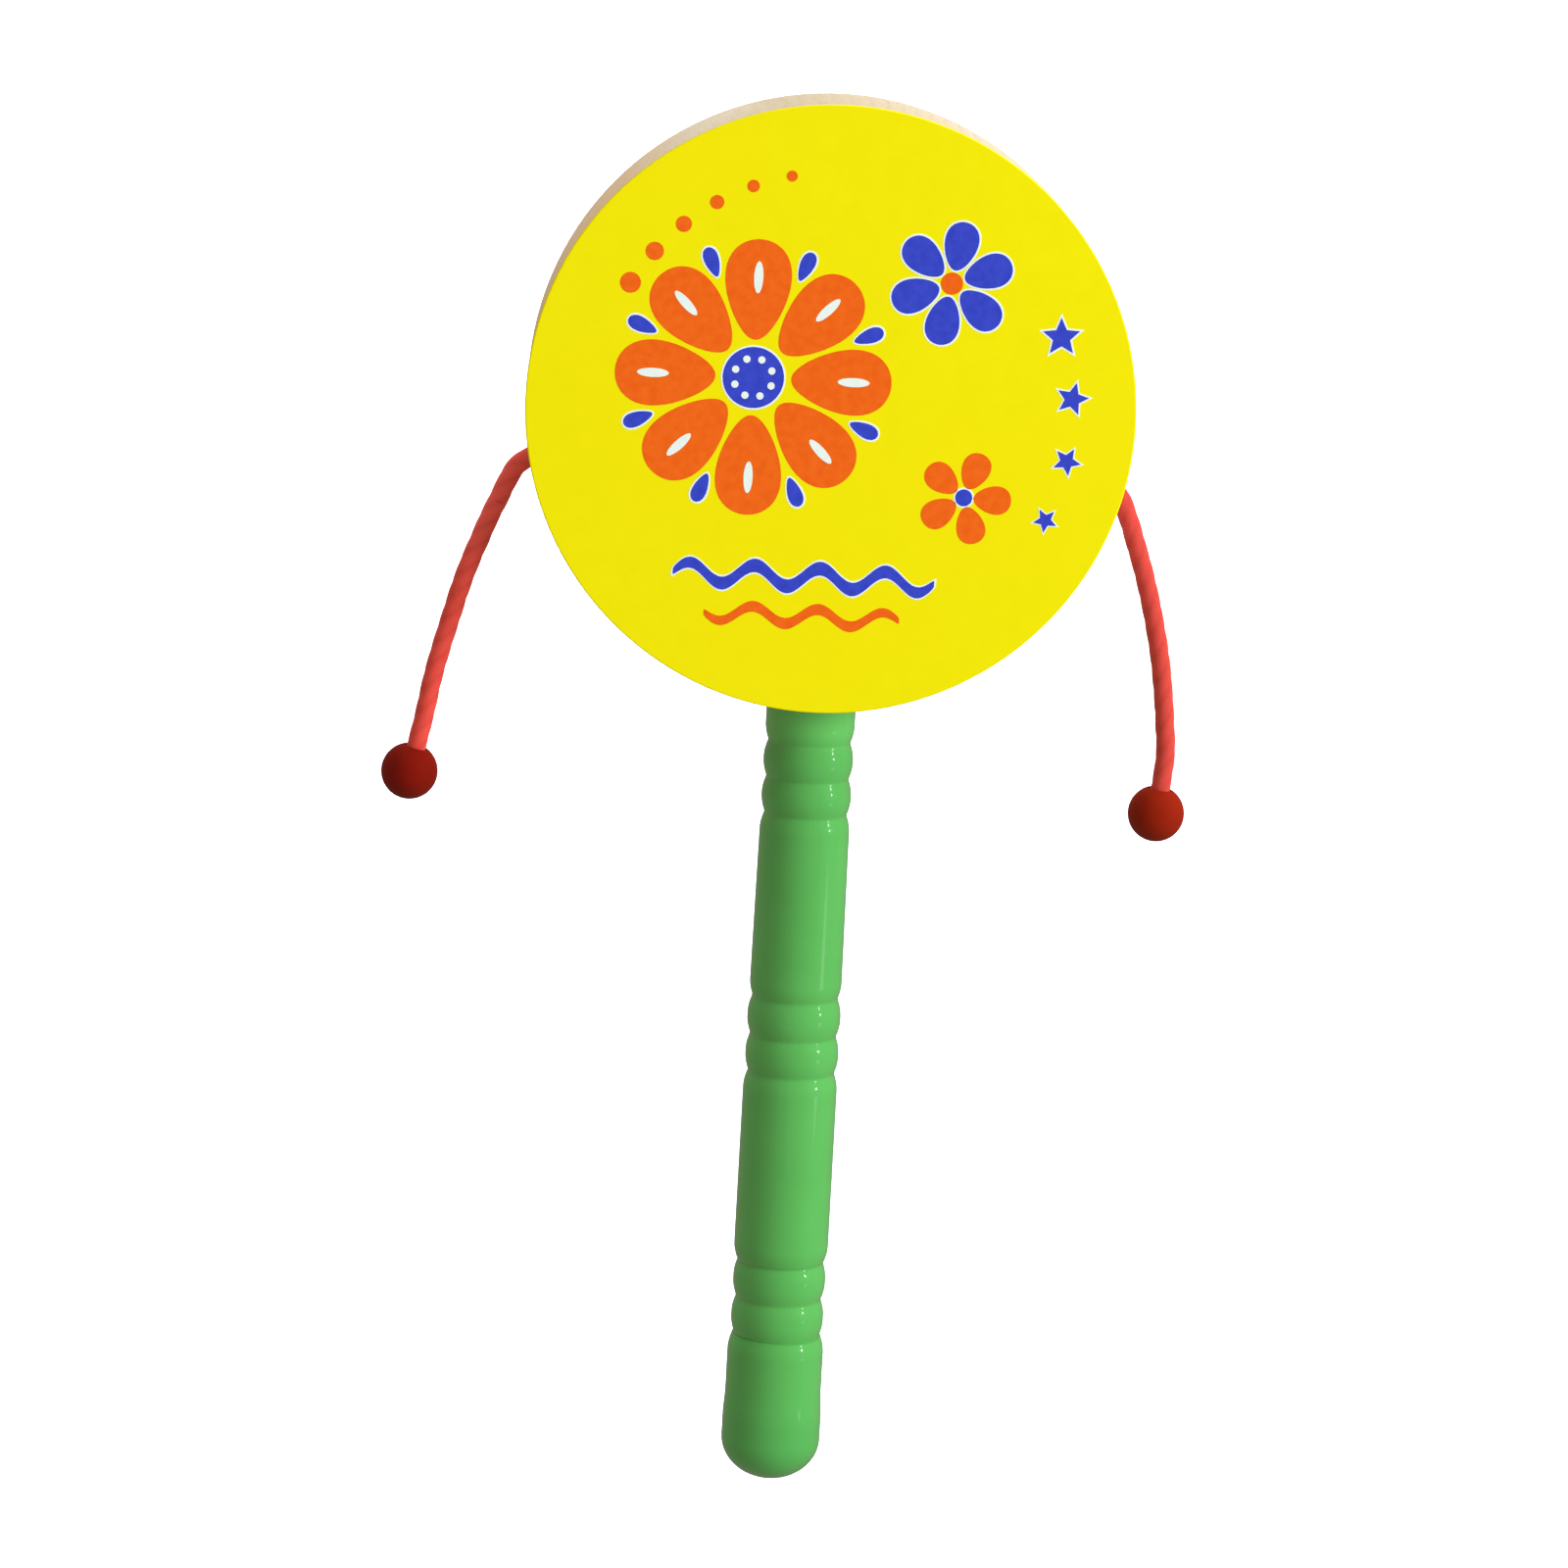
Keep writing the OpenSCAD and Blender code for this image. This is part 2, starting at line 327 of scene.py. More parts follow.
def cord_material():
    made, tree, shader = new_material(
        "red_cord", Roughness=0.8, Specular_IOR_Level=0.2, Sheen_Weight=0.25, Sheen_Roughness=0.4,
        Sheen_Tint=(1, 0.5, 0.45, 1))
    lay = split(tree, add_node(tree, "ShaderNodeUVMap", uv_map="lay").outputs[0])
    groove = add_node(tree, "ShaderNodeAttribute", attribute_name="groove").outputs["Fac"]
    # Yarns lie side by side in each strand, and turn with it.
    yarn = maths(tree, "SINE", times(tree, lay[0], 2 * math.pi * CORD_YARNS))
    point = object_point(tree)
    cloudy = noise(tree, point, scale=260, detail=3)
    fine = noise(tree, point, scale=2600, detail=2)
    red = blend_colour(tree, stretch(tree, cloudy, 0.35, 0.65), CORD_RED, CORD_RED_LIGHT)
    # The right cord is darkened, a painted shade against the large lamp's light, and the left one is
    # lightened near the drum, a painted light in the drum's shadow.
    where = split(tree, point)
    side = stretch(tree, where[0], -SIDE_EDGE, SIDE_EDGE)
    red = blend_colour(tree, times(tree, side, 0.9), red, CORD_RED_PAINTED_SHADE)
    near_drum = stretch(tree, where[2], PAINTED_LIGHT_START, PAINTED_LIGHT_END, smooth=True)
    painted_light = times(tree, near_drum, maths(tree, "SUBTRACT", 1.0, side))
    red = blend_colour(tree, times(tree, painted_light, 0.85), red, CORD_RED_PAINTED_LIGHT)
    # The grooves are darkened with painted shade, on top of their pressed depth.
    red = blend_colour(tree, stretch(tree, groove, 0.1, 1.0, 0.0, 0.2), red, CORD_RED_GROOVE_SHADE)
    red = blend_colour(tree, stretch(tree, fine, 0.3, 0.7, 0.0, 0.14), red, CORD_RED_FLUFF)
    tree.links.new(red, shader.inputs["Base Color"])
    height = plus(tree, times(tree, yarn, 0.5), fine)
    bumped(tree, shader, height, distance=0.02 * MM, strength=0.55)
    return made


red_cord = cord_material()
print("finish:", red_cord.name)

# %% The tree that twists a cord
def twisted_cord_tree():
    tree, given = geometry_tree("twisted_cord", Diameter="Float", Strands="Float", Lay="Float",
                                Groove_depth="Float", Ring_step="Float", Sides="Int", Start="Float",
                                End="Float", Finish="Material")
    curve = add_node(tree, "GeometryNodeCurveSplineType", {"Curve": given["Geometry"]},
                     spline_type="CATMULL_ROM").outputs[0]
    curve = add_node(tree, "GeometryNodeResampleCurve", {"Curve": curve, "Length": given["Ring step"]},
                     mode="LENGTH").outputs[0]
    length = add_node(tree, "GeometryNodeSplineParameter").outputs["Length"]
    curve = store(tree, curve, "along", length)
    # Inputs 4 and 5 are the two lengths between which the curve is kept.
    trimmed = add_node(tree, "GeometryNodeTrimCurve",
                       {"Curve": curve, 4: given["Start"], 5: given["End"]}, mode="LENGTH")
    circle = circle_curve(tree, given["Sides"], maths(tree, "DIVIDE", given["Diameter"], 2.0))
    factor = add_node(tree, "GeometryNodeSplineParameter").outputs["Factor"]
    circle = store(tree, circle, "around", factor)
    tube = add_node(tree, "GeometryNodeCurveToMesh",
                    {"Curve": trimmed.outputs[0], "Profile Curve": circle, "Fill Caps": True})
    along = stored(tree, "along")
    around = stored(tree, "around")
    # Turns round the tube, less the turns that the lay has made by this length.
    laid_turns = maths(tree, "DIVIDE", along, given["Lay"])
    phase = maths(tree, "SUBTRACT", around, laid_turns)
    angle = times(tree, times(tree, phase, given["Strands"]), math.pi)
    groove = maths(tree, "POWER", maths(tree, "ABSOLUTE", maths(tree, "COSINE", angle)), 4.0)
    tube = store(tree, tube.outputs[0], "groove", groove)
    # The last column of faces closes the circle, so its corners at 0 count as one full turn.
    middle = add_node(tree, "GeometryNodeFieldOnDomain", {"Value": around},
                      data_type="FLOAT", domain="FACE").outputs[0]
    closing = times(tree, maths(tree, "LESS_THAN", around, 0.001),
                    maths(tree, "GREATER_THAN", middle, 0.25))
    laid = maths(tree, "SUBTRACT", plus(tree, around, closing), laid_turns)
    tube = store(tree, tube, "lay", joined(tree, X=laid, Y=along), kind="FLOAT2", domain="CORNER")
    normal = add_node(tree, "GeometryNodeInputNormal").outputs[0]
    inwards = times(tree, times(tree, groove, given["Groove depth"]), -1.0)
    offset = vector_maths(tree, "SCALE", {0: normal, "Scale": inwards})[0]
    tube = add_node(tree, "GeometryNodeSetPosition", {"Geometry": tube, "Offset": offset}).outputs[0]
    close_tree(tree, tube, given["Finish"])
    return tree


twisted_cord = twisted_cord_tree()
print("tree:", twisted_cord.name, "with", len(twisted_cord.nodes), "nodes")

# %% [markdown]
# Each cord comes out of the ring's side, turns down, and hangs to its bead. It bends at two places when
# the toy is twirled: at the hole, and where it is flung round the drum's edge. Each cord is made in two
# stretches, which meet at one point of its route. A piece can bend between two bodies only.

# %% The routes, as x and z in millimetres
LEFT_ROUTE = [
    (-44.8, 166.2), (-46.0, 165.9), (-47.4, 165.6), (-48.8, 165.0), (-50.2, 164.1), (-51.4, 162.8),
    (-52.4, 160.9), (-53.9, 157.4), (-55.1, 154.7), (-56.4, 151.3), (-57.9, 147.3), (-59.4, 142.7),
    (-60.8, 137.5), (-62.2, 132.2), (-63.4, 127.0), (-64.3, 121.8), (-65.2, 117.2), (-66.8, 110.1)]
RIGHT_ROUTE = [
    (44.8, 166.2), (46.2, 165.8), (47.6, 165.0), (48.8, 163.9), (49.8, 162.5), (50.7, 160.5),
    (51.6, 158.2), (52.5, 155.6), (53.9, 151.6), (55.3, 147.0), (56.6, 142.0), (57.8, 136.6),
    (58.7, 131.0), (59.4, 125.2), (59.8, 119.2), (58.8, 109.0)]
ROUTES = {side: [Vector((x * MM, 0, z * MM)) for x, z in route]
          for side, route in (("left", LEFT_ROUTE), ("right", RIGHT_ROUTE))}
JUNCTION = 7   # the point where the two stretches of a cord meet


def length_of(points):
    return sum((b - a).length for a, b in zip(points, points[1:]))


# %% The four stretches of cord
CORD_SIDES = 48
GROOVE_DEPTH = 0.08 * MM
RING_STEP = 0.3 * MM
PAST_THE_END = 1.1
BEAD_DIAMETER = 9.5 * MM
CORD_REACH = 1 * MM       # how far a cord reaches past its bead's centre


def cord_stretch(name, route, start, end):
    """The part of a route between two of its points, as a twisted tube."""
    stop = length_of(route[:end + 1])
    if end == len(route) - 1:
        # The smooth line through the points is a little longer than the straight steps between them.
        stop *= PAST_THE_END
    return grow(name, line_through(name, route), twisted_cord, Diameter=CORD_DIAMETER,
                Strands=float(CORD_STRANDS), Lay=CORD_LAY, Groove_depth=GROOVE_DEPTH,
                Ring_step=RING_STEP, Sides=CORD_SIDES, Start=length_of(route[:start + 1]), End=stop,
                Finish=red_cord)


def lay_cord(side):
    route = ROUTES[side]
    root = cord_stretch(side + "_cord_root", route, 0, JUNCTION)
    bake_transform(root)
    hanging = cord_stretch(side + "_cord_hanging", route, JUNCTION, len(route) - 1)
    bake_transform(hanging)
    for piece in (root, hanging):
        print(piece.name, len(piece.data.polygons), "faces")
    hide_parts(side + "_cord")
    return root, hanging


cords = {side: lay_cord(side) for side in ROUTES}

# %% [markdown]
# The beads are turned wood with dull dark red paint. A blind hole takes the end of the cord, and its
# lip is rounded where the paint has flowed over it. A profile spun about the cord's last direction
# gives the ball, the lip and the hole in one closed skin.

# %% The beads' finish
BEAD_REDS = {"left": ((0.174, 0.0054, 0.0019), (0.204, 0.0067, 0.0025)),
             "right": ((0.232, 0.0112, 0.0021), (0.268, 0.0138, 0.0028))}


def bead_material():
    made, tree, shader = new_material("dark_red_bead", Specular_IOR_Level=0.1)
    point = object_point(tree)
    cloudy = noise(tree, point, scale=180, detail=4)
    fine = noise(tree, point, scale=1500, detail=2)
    patches = stretch(tree, cloudy, 0.35, 0.65)
    # The right bead is a shade lighter than the left one.
    side = stretch(tree, split(tree, point)[0], -SIDE_EDGE, SIDE_EDGE)
    reds = {name: blend_colour(tree, patches, *pair) for name, pair in BEAD_REDS.items()}
    tree.links.new(blend_colour(tree, side, reds["left"], reds["right"]), shader.inputs["Base Color"])
    tree.links.new(stretch(tree, cloudy, 0.3, 0.7, 0.48, 0.62), shader.inputs["Roughness"])
    height = plus(tree, cloudy, times(tree, fine, 0.3))
    bumped(tree, shader, height, distance=0.05 * MM, strength=0.4)
    return made


dark_red = bead_material()
print("finish:", dark_red.name)

# %% Spinning a profile
def spun(name, profile, sides, place, axis, material):
    """A closed solid of turning: profile is a list of (radius, height), from pole to pole."""
    mesh = bpy.data.meshes.new(name)
    work = bmesh.new()
    turn = axis.to_track_quat("Z", "X").to_matrix().to_4x4()
    rings = []
    for radius, height in profile:
        if radius == 0:
            rings.append([work.verts.new((0, 0, height))] * sides)
        else:
            rings.append([work.verts.new((radius * math.cos(a), radius * math.sin(a), height))
                          for a in (2 * math.pi * i / sides for i in range(sides))])
    for low, high in zip(rings, rings[1:]):
        for i in range(sides):
            j = (i + 1) % sides
            corners = dict.fromkeys((low[i], low[j], high[j], high[i]))
            work.faces.new(list(corners)).smooth = True
    bmesh.ops.recalc_face_normals(work, faces=work.faces)
    work.transform(Matrix.Translation(place) @ turn)
    work.to_mesh(mesh)
    work.free()
    mesh.materials.append(material)
    return new_object(name, mesh)


def arc(centre, radius, start, end, steps):
    """Points on a round edge, as (radius, height), between two angles in degrees."""
    angles = [math.radians(start + (end - start) * i / steps) for i in range(steps + 1)]
    return [(centre[0] + radius * math.cos(a), centre[1] + radius * math.sin(a)) for a in angles]


print("profiles can be spun")

# %% The two beads
BORE_RADIUS = 1.85 * MM
BORE_DEPTH = 1.2 * MM     # how far the hole goes past the bead's centre
LIP_RADIUS = 0.25 * MM
BEAD_SIDES = 96
BALL_STEPS, LIP_STEPS = 64, 8
FIRST_RING = -88          # degrees; the pole itself is at -90


def add_bead(side):
    route = ROUTES[side]
    up = (route[-2] - route[-1]).normalized()
    centre = route[-1] + up * CORD_REACH
    radius = BEAD_DIAMETER / 2
    # The lip is an arc that touches the ball outside and the wall of the hole inside.
    lip_x = BORE_RADIUS + LIP_RADIUS
    lip_z = math.sqrt((radius - LIP_RADIUS) ** 2 - lip_x ** 2)
    touch = math.degrees(math.atan2(lip_z, lip_x))
    profile = [(0, -radius)] + arc((0, 0), radius, FIRST_RING, touch, BALL_STEPS)
    profile += arc((lip_x, lip_z), LIP_RADIUS, touch, 180, LIP_STEPS)[1:]
    profile += [(BORE_RADIUS, -BORE_DEPTH), (0, -BORE_DEPTH)]
    bead = spun(side + "_ball", profile, BEAD_SIDES, centre, up, dark_red)
    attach(bead, side + "_bead_body")
    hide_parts(side + "_bead")
    print(bead.name, "at", [round(c / MM, 1) for c in centre], "mm")
    return bead


beads = {side: add_bead(side) for side in ROUTES}

# %% [markdown]
# The frame also keeps what each cord really is: how long and thick it is, how it hangs, and what holds
# its end.

# %% [markdown]
# Inside the drum each cord ends in a knot that is wider than its hole. The frame holds its three wraps
# already, and they stay out of sight, so the solid is kept and only takes the cord's finish.

# %% The stopper knots
for name in ("left_knot", "right_knot"):
    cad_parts[name].data.materials[0] = red_cord
print("the knots share the cord's finish")

# %% [markdown]
# The handle is one stick of turned wood: a collar, three pairs of rings with two long barrels between
# them, and a barrel that swells to a domed end. Its outline follows one rule. Each section is level
# along its middle and rounds down into a narrow groove at each end, where paint has filled the bottom.

# %% The handle's sizes
SEAT_Z = drum_low.z + 0.6 * MM      # the collar stands on a flat cut this deep into the drum's wall
COLLAR_LENGTH, COLLAR_DIAMETER = 7.8 * MM, 15 * MM
SECTIONS = [(length * MM, top * MM, low * MM) for length, top, low in (
    (6.1, 15.1, 15.1), (6.1, 15.1, 15.1), (31.7, 15.1, 15.6),
    (6.45, 15.8, 15.8), (6.45, 15.8, 15.8), (32.9, 15.95, 16.05),
    (6.55, 15.75, 15.75), (6.55, 15.75, 15.75))]
END_LENGTH, END_DIAMETER = 9.5 * MM, 16.4 * MM
SWELL_LENGTH, GRIP_DIAMETER, DOME_HEIGHT = 5.5 * MM, 16.85 * MM, 7.1 * MM
TENON_DIAMETER, TENON_LENGTH, TENON_CHAMFER = 9 * MM, 7 * MM, 0.5 * MM
COLLAR_CHAMFER = 0.1 * MM
HANDLE_GROOVE, SHOULDER, PAINT_FILL = 0.66 * MM, 3 * MM, 0.16 * MM
BEND_STEP, LEVEL_STEP = 0.2 * MM, 1 * MM     # rows are close where it bends, for even highlights
HAIR = 0.01 * MM          # keeps two rows of the outline apart
POLE_SHARE = 0.002        # the dome's last ring, as a share of its widest
DOME_STEPS = 36
HANDLE_SIDES = 176
print("handle:", len(SECTIONS), "sections below the collar")

# %% The handle's outline
def drop_at(distance, shoulder):
    """How far the surface lies inside its section at this distance from a groove's middle."""
    filled = math.sqrt(distance ** 2 + PAINT_FILL ** 2)
    return HANDLE_GROOVE * max(0.0, 1 - filled / shoulder) ** 2


def stations(length, *bends):
    """Distances along a section, closer together where it bends."""
    x = 0.0
    while x < length - BEND_STEP / 2:
        yield x
        x += BEND_STEP if any(low <= x < high for low, high in bends) else LEVEL_STEP


def section_outline(z, length, top, low):
    shoulder = min(SHOULDER, length / 2)
    for x in stations(length, (0, shoulder), (length - shoulder - LEVEL_STEP, length)):
        yield z - x, (top + (low - top) * x / length) / 2 - drop_at(min(x, length - x), shoulder)


def swell_outline(z):
    """Half a cosine wave from the end barrel's diameter to the grip's."""
    steps = round(SWELL_LENGTH / (2 * BEND_STEP))
    for i in range(steps):
        share = (1 - math.cos(math.pi * i / steps)) / 2
        diameter = END_DIAMETER + (GRIP_DIAMETER - END_DIAMETER) * share
        yield z - SWELL_LENGTH * i / steps, diameter / 2


def handle_outline():
    """Heights and radii, from the tenon's hidden end down to the dome."""
    tenon = TENON_DIAMETER / 2
    collar = COLLAR_DIAMETER / 2
    top = SEAT_Z + TENON_LENGTH
    rows = [(top, HAIR), (top - HAIR, tenon - TENON_CHAMFER), (top - TENON_CHAMFER, tenon),
            (SEAT_Z + HAIR, tenon), (SEAT_Z, collar - COLLAR_CHAMFER),
            (SEAT_Z - COLLAR_CHAMFER, collar)]
    z = SEAT_Z - COLLAR_LENGTH
    rows += [(z + x, collar - drop_at(x, SHOULDER))
             for x in reversed(list(stations(COLLAR_LENGTH, (0, SHOULDER)))[1:])]
    for length, upper, lower in SECTIONS:
        rows += section_outline(z, length, upper, lower)
        z -= length
    rows += [(z - x, END_DIAMETER / 2 - drop_at(x, SHOULDER))
             for x in stations(END_LENGTH, (0, SHOULDER))]
    z -= END_LENGTH
    rows += swell_outline(z)
    rows.append((z - SWELL_LENGTH, GRIP_DIAMETER / 2))
    dome_top = cad_low.z + DOME_HEIGHT
    for i in range(DOME_STEPS + 1):
        a = math.radians(90 * i / DOME_STEPS)
        rows.append((dome_top - DOME_HEIGHT * math.sin(a),
                     GRIP_DIAMETER / 2 * max(math.cos(a), POLE_SHARE)))
    return rows


outline = handle_outline()
print("outline:", len(outline), "heights from", round(outline[0][0] / MM, 1), "to",
      round(outline[-1][0] / MM, 1), "mm")

# %% [markdown]
# The lacquer is a thick glossy green coat over wood that was sanded smooth. Its colour is nearly even,
# with a trace of the grain below, and its skin is not quite flat, which shows only in the highlights.

# %% The green lacquer
GREEN = (0.081, 0.416, 0.087)
GREEN_LIGHT = (0.090, 0.446, 0.097)
GREEN_GRAIN = (0.060, 0.31, 0.062)
# Painted light for the collar, in the drum's shadow.
GREEN_COLLAR_PAINTED_LIGHT = (0.115, 0.53, 0.115)
GREEN_DARKER_END = (0.070, 0.39, 0.083)


def lacquer_material():
    made, tree, shader = new_material("green_lacquer", Roughness=0.42, Coat_Weight=1.0,
                                      Coat_Roughness=0.06, Coat_IOR=1.5, Specular_IOR_Level=0.3)
    point = object_point(tree)
    grain = streaks(tree, point, scales=(900, 900, 45), detail=3)
    cloudy = noise(tree, point, scale=90, detail=2)
    green = blend_colour(tree, stretch(tree, cloudy, 0.3, 0.7), GREEN, GREEN_LIGHT)
    green = blend_colour(tree, stretch(tree, grain, 0.45, 0.8, 0.0, 0.10), green, GREEN_GRAIN)
    # The collar is lightened with painted light, against the shade that the drum casts on it.
    height = split(tree, point)[2]
    collar = stretch(tree, height, SEAT_Z - 1.2 * COLLAR_LENGTH, SEAT_Z - 0.5 * COLLAR_LENGTH,
                     smooth=True)
    green = blend_colour(tree, collar, green, GREEN_COLLAR_PAINTED_LIGHT)
    # The paint is darker towards the handle's end.
    towards_end = stretch(tree, height, 0, END_LENGTH, 0.85, 0, smooth=True)
    green = blend_colour(tree, towards_end, green, GREEN_DARKER_END)
    tree.links.new(green, shader.inputs["Base Color"])
    skin = noise(tree, point, scale=160, detail=0)
    skin_normal = bumped(tree, shader, skin, distance=0.01 * MM, strength=0.1)
    tree.links.new(skin_normal, shader.inputs["Coat Normal"])
    # The colour coat under the clear one is bumpier.
    below = plus(tree, skin, times(tree, grain, 0.35))
    bumped(tree, shader, below, distance=0.02 * MM, strength=0.35)
    return made


green_lacquer = lacquer_material()
print("finish:", green_lacquer.name)

# %% Turning the handle
def turned_tree():
    tree, given = geometry_tree("turned_stick", Sides="Int", Finish="Material")
    circle = circle_curve(tree, given["Sides"], 1.0)
    radius = add_node(tree, "GeometryNodeInputRadius").outputs[0]
    stick = add_node(tree, "GeometryNodeCurveToMesh",
                     {"Curve": given["Geometry"], "Profile Curve": circle, "Scale": radius,
                      "Fill Caps": True})
    close_tree(tree, stick.outputs[0], given["Finish"])
    return tree


def turn_handle():
    heights, radii = zip(*outline)
    axis = line_through("handle_axis", [(0, 0, z) for z in heights], radii)
    made = grow("turned_handle", axis, turned_tree(), Sides=HANDLE_SIDES, Finish=green_lacquer)
    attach(made, "drum")
    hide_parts("handle")
    return made


handle = turn_handle()
print(handle.name, len(handle.data.polygons), "faces")

# %% [markdown]
# The drum's ring is bare pale wood. It was turned from a billet whose fibres run along the drum's axis,
# so the outer wall shows fine lines straight across it, and soft bands where growth rings come out.

# %% Bare wood
WOOD_PALE = (0.73, 0.65, 0.49)
WOOD_WARM = (0.68, 0.54, 0.37)
WOOD_LIGHT = (0.88, 0.79, 0.65)
WOOD_HEART = (0.80, 0.57, 0.37)
WOOD_DARK = (0.42, 0.25, 0.12)
PITH = (38 * MM, 0, 215 * MM)     # a line along Y that the growth rings go round
RING_SPACING = 2.6 * MM
RING_WANDER = 2.2                 # how many rings the noise shifts them by, at most
LIGHT_START, LIGHT_END = 48 * MM, 58 * MM     # distances from the pith where the wood turns paler,
HEART_START, HEART_END = 62 * MM, 76 * MM     # and then warmer
STREAK_REACH = 16 * MM            # how far a streak carries one colour into the other


def wood_colour(tree, point):
    """Colour and height of wood whose fibres run along Y."""
    fibre = streaks(tree, point, scales=(1400, 40, 1400), detail=4)
    fleck = stretch(tree, streaks(tree, point, scales=(3200, 260, 3200), detail=1), 0.62, 0.72)
    from_pith = add_node(tree, "ShaderNodeMapping",
                         {"Vector": point, "Location": tuple(-c for c in PITH)}).outputs[0]
    flat = vector_maths(tree, "MULTIPLY", {0: from_pith, 1: (1, 0, 1)})[0]
    distance = vector_maths(tree, "LENGTH", {0: flat})["Value"]
    wander = times(tree, noise(tree, point, scale=45, detail=2), RING_WANDER)
    rings = plus(tree, maths(tree, "DIVIDE", distance, RING_SPACING), wander)
    band = maths(tree, "POWER", maths(tree, "FRACT", rings), 2.4)
    colour = blend_colour(tree, times(tree, band, 0.55), WOOD_PALE, WOOD_WARM)
    # The billet has a pale band and then warmer wood, and they run into each other along the fibres.
    streak = streaks(tree, point, scales=(190, 22, 190), detail=3)
    uneven = plus(tree, distance, times(tree, maths(tree, "SUBTRACT", streak, 0.5), STREAK_REACH))
    light = stretch(tree, uneven, LIGHT_START, LIGHT_END, 0.0, 0.75, smooth=True)
    colour = blend_colour(tree, light, colour, WOOD_LIGHT)
    heart = stretch(tree, uneven, HEART_START, HEART_END, 0.0, 0.85, smooth=True)
    colour = blend_colour(tree, heart, colour, WOOD_HEART)
    colour = blend_colour(tree, stretch(tree, fibre, 0.5, 0.85, 0.0, 0.35), colour, WOOD_WARM)
    colour = blend_colour(tree, times(tree, fleck, 0.30), colour, WOOD_DARK)
    height = maths(tree, "SUBTRACT", fibre, times(tree, fleck, 0.8))
    return colour, height


def ring_material():
    made, tree, shader = new_material("natural_wood", Roughness=0.6, Specular_IOR_Level=0.3)
    colour, height = wood_colour(tree, object_point(tree))
    tree.links.new(colour, shader.inputs["Base Color"])
    bumped(tree, shader, height, distance=0.06 * MM, strength=0.5)
    return made


natural_wood = ring_material()
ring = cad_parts["drum_frame"]
ring.data.materials[0] = natural_wood
print("finish:", natural_wood.name, "on", ring.name)

# %% [markdown]
# Each head is a thin disc of plywood. Its face is yellow, and the colour runs over the rounded edge and
# stops there. The bare side shows the three plies, and a fine line where the head is glued on.

# %% The yellow heads
SEAM_Y = drum_high.y
HEAD_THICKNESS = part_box("back_head")[1].y - SEAM_Y
PAINT_DEPTH = 0.3 * MM      # how far the paint runs over the edge
PAINT_WANDER = 0.12 * MM
PAINT_BLUR = 0.06 * MM
PLY_SHARES = (0.3, 0.7)     # where one ply meets the next, in the head's thickness
PLY_BLUR = 0.02
SEAM_SHARE = 0.05           # width of the fine line, as a share of the head's thickness
YELLOW = (0.838, 0.800, 0.0006)
YELLOW_LIGHT = (0.862, 0.825, 0.0012)
YELLOW_WARM = (0.86, 0.79, 0.0015)


def ply_colour(tree, point, depth):
    """Colour and height of the bare side, at a depth that is measured from the drum's middle."""
    wood, height = wood_colour(tree, point)
    into = maths(tree, "DIVIDE", maths(tree, "SUBTRACT", depth, SEAM_Y), HEAD_THICKNESS)
    # The middle ply is cut across its fibres, so it is darker.
    core = times(tree, stretch(tree, into, PLY_SHARES[0] - PLY_BLUR, PLY_SHARES[0] + PLY_BLUR),
                 stretch(tree, into, PLY_SHARES[1] - PLY_BLUR, PLY_SHARES[1] + PLY_BLUR, 1, 0))
    wood = blend_colour(tree, times(tree, core, 0.45), wood, WOOD_WARM)
    seam = stretch(tree, into, 0.0, SEAM_SHARE, 0.75, 0)
    return blend_colour(tree, seam, wood, WOOD_DARK), height


def head_material():
    made, tree, shader = new_material("yellow_face", Specular_IOR_Level=0.12)
    point = object_point(tree)
    depth = maths(tree, "ABSOLUTE", split(tree, point)[1])
    # The paint's lower edge wanders by a few hundredths of a millimetre.
    ragged = plus(tree, depth, times(tree, noise(tree, point, scale=900, detail=2), PAINT_WANDER))
    paint_edge = SEAM_Y + HEAD_THICKNESS - PAINT_DEPTH
    painted = stretch(tree, ragged, paint_edge, paint_edge + PAINT_BLUR)
    wood, wood_height = ply_colour(tree, point, depth)
    mottle = noise(tree, point, scale=320, detail=5)
    wide = noise(tree, point, scale=35, detail=2)
    yellow = blend_colour(tree, stretch(tree, mottle, 0.3, 0.7), YELLOW, YELLOW_LIGHT)
    yellow = blend_colour(tree, stretch(tree, wide, 0.35, 0.65, 0, 0.5), yellow, YELLOW_WARM)
    tree.links.new(blend_colour(tree, painted, wood, yellow), shader.inputs["Base Color"])
    tree.links.new(stretch(tree, painted, 0, 1, 0.62, 0.46), shader.inputs["Roughness"])
    # The face's own fibres run sideways, and show through the paint as faint ridges.
    below = streaks(tree, point, scales=(60, 1, 1500), detail=3)
    paint_height = plus(tree, times(tree, mottle, 0.5), times(tree, below, 0.5))
    height = add_node(tree, "ShaderNodeMix", {"Factor": painted, "A": wood_height, "B": paint_height},
                      data_type="FLOAT").outputs[0]
    bumped(tree, shader, height, distance=0.03 * MM, strength=0.35)
    return made


yellow_face = head_material()
for name in ("front_head", "back_head"):
    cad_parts[name].data.materials[0] = yellow_face
print("finish:", yellow_face.name)

# %% [markdown]
# The front head carries a print in three thick inks, laid one over the other. An image would blur when
# it is looked at closely, so each shape is a very thin slab of ink that stands a few hundredths of a
# millimetre proud. Every shape comes from one rule: an egg-shaped outline, whose points can be drawn in
# to make a star or shifted up and down to make a wave, is repeated round a ring.

